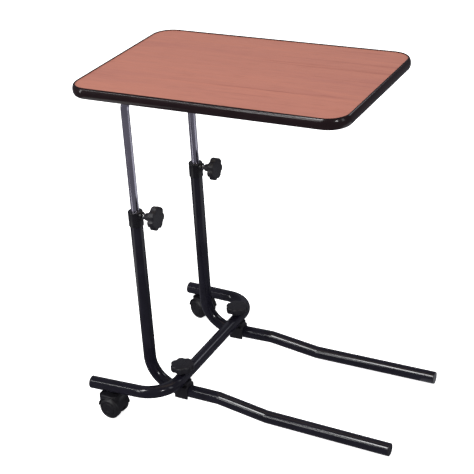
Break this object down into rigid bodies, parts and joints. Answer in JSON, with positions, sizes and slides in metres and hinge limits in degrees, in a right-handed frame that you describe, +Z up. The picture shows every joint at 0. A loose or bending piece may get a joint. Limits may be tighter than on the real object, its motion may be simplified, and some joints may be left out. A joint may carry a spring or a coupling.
{
  "type": "overbed table",
  "caption": "Height-adjustable overbed table with a wood-effect top on telescopic legs, star-knob clamps, long floor feet and a castored base tube.",
  "frame": {"origin": "on the floor, at the middle of the whole table's bounding box", "axes": "+X along the feet, away from the uprights; +Y across the table, towards its left leg; +Z up"},
  "size_m": [0.6679, 0.5128, 0.752],
  "materials": {
    "laminate": "wood-effect laminate, satin",
    "board": "raw particle board",
    "backing": "plain backing laminate",
    "edging": "dark brown PVC edging",
    "black_tube": "gloss black powder coat",
    "chrome": "bright chrome plate",
    "black_plastic": "moulded black plastic, fine grain",
    "white_nylon": "natural nylon",
    "zinc": "bright zinc plate",
    "brass": "turned brass",
    "wheel_plastic": "moulded black nylon"
  },
  "bodies": {
    "frame": {"leg_left": "black_tube", "leg_right": "black_tube", "foot_plugs": "black_plastic", "base_tube": "black_tube", "base_plugs": "black_plastic", "castor_sockets": "zinc", "saddle_left": "black_plastic", "saddle_right": "black_plastic", "carriage_bolts": "zinc", "collar_left": "black_plastic", "collar_right": "black_plastic", "clamp_nuts": "zinc"},
    "table_top": {"board_core": "board", "backing_sheet": "backing", "top_laminate": "laminate", "edging": "edging", "top_tube_left": "chrome", "top_tube_right": "chrome", "top_tube_plugs": "black_plastic", "guide_plugs": "white_nylon", "top_screws": "zinc"},
    "clamp_pad_left": {"clamp_pad_left": "white_nylon"},
    "clamp_knob_left": {"clamp_screw_left": "zinc", "clamp_knob_left": "black_plastic"},
    "washer_left": {"washer_left": "zinc"},
    "base_knob_left": {"knob_insert_left": "brass", "base_knob_left": "black_plastic"},
    "castor_left": {"castor_hood_left": "black_plastic", "castor_stem_left": "zinc", "castor_axle_left": "zinc"},
    "wheel_left_a": {"castor_wheel_left_a": "wheel_plastic"},
    "wheel_left_b": {"castor_wheel_left_b": "wheel_plastic"},
    "clamp_pad_right": {"clamp_pad_right": "white_nylon"},
    "clamp_knob_right": {"clamp_screw_right": "zinc", "clamp_knob_right": "black_plastic"},
    "washer_right": {"washer_right": "zinc"},
    "base_knob_right": {"knob_insert_right": "brass", "base_knob_right": "black_plastic"},
    "castor_right": {"castor_hood_right": "black_plastic", "castor_stem_right": "zinc", "castor_axle_right": "zinc"},
    "wheel_right_a": {"castor_wheel_right_a": "wheel_plastic"},
    "wheel_right_b": {"castor_wheel_right_b": "wheel_plastic"}
  },
  "joints": [
    {"name": "height", "type": "slide", "parent": "frame", "child": "table_top", "axis": [0, 0, 1], "range_m": [-0.11, 0.13]},
    {"name": "clamp_pad_left_travel", "type": "slide", "parent": "frame", "child": "clamp_pad_left", "axis": [1, 0, 0], "range_m": [0, 0.0026]},
    {"name": "clamp_knob_left_turn", "type": "hinge", "parent": "clamp_pad_left", "child": "clamp_knob_left", "pos_m": [-0.2055, 0.1345, 0.455], "axis": [1, 0, 0], "range_deg": [0, 720]},
    {"name": "washer_left_travel", "type": "slide", "parent": "frame", "child": "washer_left", "axis": [0, 0, 1], "range_m": [0, 0.0102]},
    {"name": "base_knob_left_turn", "type": "hinge", "parent": "washer_left", "child": "base_knob_left", "pos_m": [-0.1535, 0.13593, 0.099], "axis": [0, 0, 1], "range_deg": [0, 2880]},
    {"name": "castor_left_swivel", "type": "hinge", "parent": "frame", "child": "castor_left", "pos_m": [-0.2905, 0.22598, 0.05], "axis": [0, 0, 1], "continuous": true},
    {"name": "wheel_left_a_roll", "type": "hinge", "parent": "castor_left", "child": "wheel_left_a", "pos_m": [-0.29348, 0.2441, 0.025], "axis": [-0.342, -0.9397, 0], "continuous": true},
    {"name": "wheel_left_b_roll", "type": "hinge", "parent": "castor_left", "child": "wheel_left_b", "pos_m": [-0.30443, 0.21402, 0.025], "axis": [-0.342, -0.9397, 0], "continuous": true},
    {"name": "clamp_pad_right_travel", "type": "slide", "parent": "frame", "child": "clamp_pad_right", "axis": [1, 0, 0], "range_m": [0, 0.0026]},
    {"name": "clamp_knob_right_turn", "type": "hinge", "parent": "clamp_pad_right", "child": "clamp_knob_right", "pos_m": [-0.2055, -0.1345, 0.455], "axis": [1, 0, 0], "range_deg": [0, 720]},
    {"name": "washer_right_travel", "type": "slide", "parent": "frame", "child": "washer_right", "axis": [0, 0, 1], "range_m": [0, 0.0102]},
    {"name": "base_knob_right_turn", "type": "hinge", "parent": "washer_right", "child": "base_knob_right", "pos_m": [-0.1535, -0.13593, 0.099], "axis": [0, 0, 1], "range_deg": [0, 2880]},
    {"name": "castor_right_swivel", "type": "hinge", "parent": "frame", "child": "castor_right", "pos_m": [-0.2905, -0.22598, 0.05], "axis": [0, 0, 1], "continuous": true},
    {"name": "wheel_right_a_roll", "type": "hinge", "parent": "castor_right", "child": "wheel_right_a", "pos_m": [-0.28264, -0.24257, 0.025], "axis": [0.0698, 0.9976, 0], "continuous": true},
    {"name": "wheel_right_b_roll", "type": "hinge", "parent": "castor_right", "child": "wheel_right_b", "pos_m": [-0.28041, -0.21065, 0.025], "axis": [0.0698, 0.9976, 0], "continuous": true}
  ],
  "couplings": [
    {"joint": "clamp_pad_left_travel", "follows": "clamp_knob_left_turn", "m_per_rad": 0.00019894},
    {"joint": "washer_left_travel", "follows": "base_knob_left_turn", "m_per_rad": 0.00019894},
    {"joint": "clamp_pad_right_travel", "follows": "clamp_knob_right_turn", "m_per_rad": 0.00019894},
    {"joint": "washer_right_travel", "follows": "base_knob_right_turn", "m_per_rad": 0.00019894}
  ]
}
